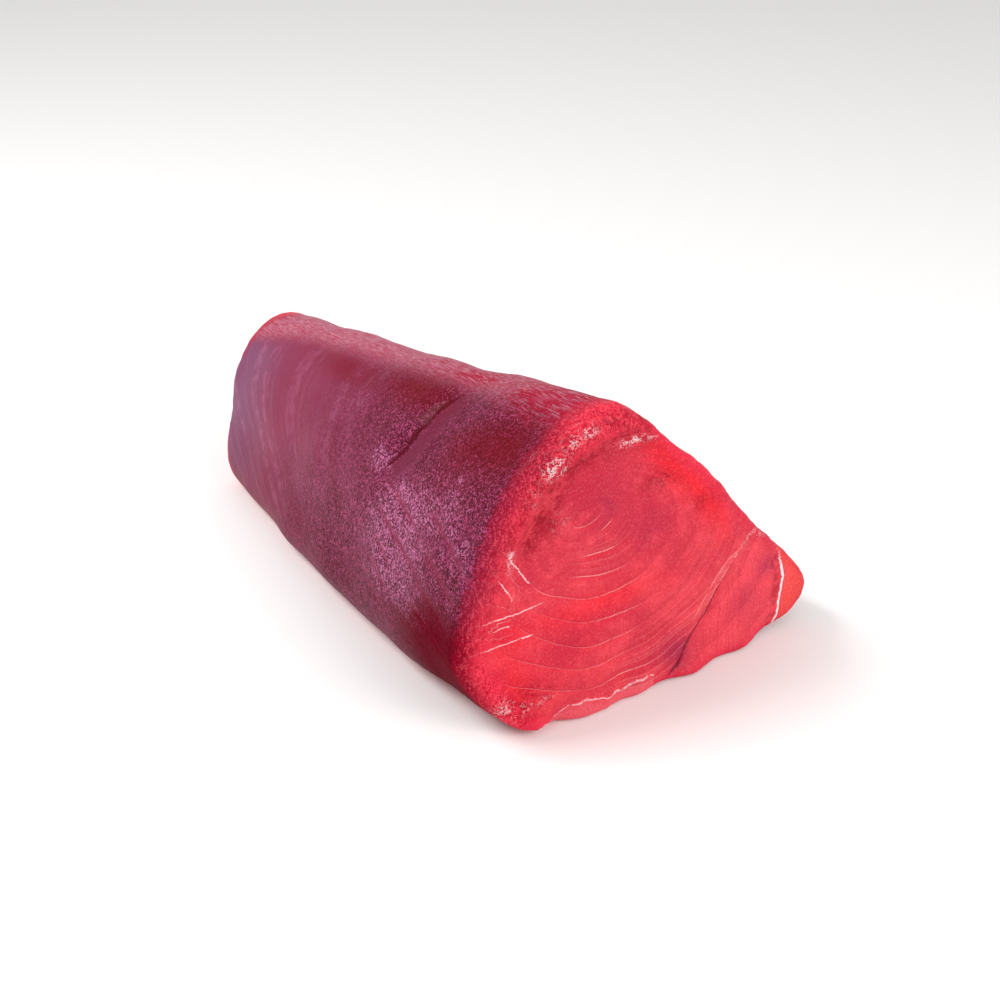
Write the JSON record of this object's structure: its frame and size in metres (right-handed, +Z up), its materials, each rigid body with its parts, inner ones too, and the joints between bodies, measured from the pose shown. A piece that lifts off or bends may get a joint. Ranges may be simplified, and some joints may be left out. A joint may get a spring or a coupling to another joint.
{
  "type": "raw tuna loin portion",
  "caption": "Thick block of raw tuna loin, cut square across at both ends, with a tall skinned wall, a rounded ridge and a slope down to a thin belly edge; lies on a board or plate to be sliced",
  "frame": {"origin": "middle of the footprint, on the surface that the block rests on", "axes": "Z up; Y along the loin, the showing cut face towards -Y; the tall skinned wall towards -X and the thin belly edge towards +X"},
  "size_m": [0.1643, 0.2433, 0.1216],
  "materials": {
    "raw_tuna": null
  },
  "bodies": {
    "root": {"tuna_loin": "raw_tuna"}
  },
  "joints": []
}
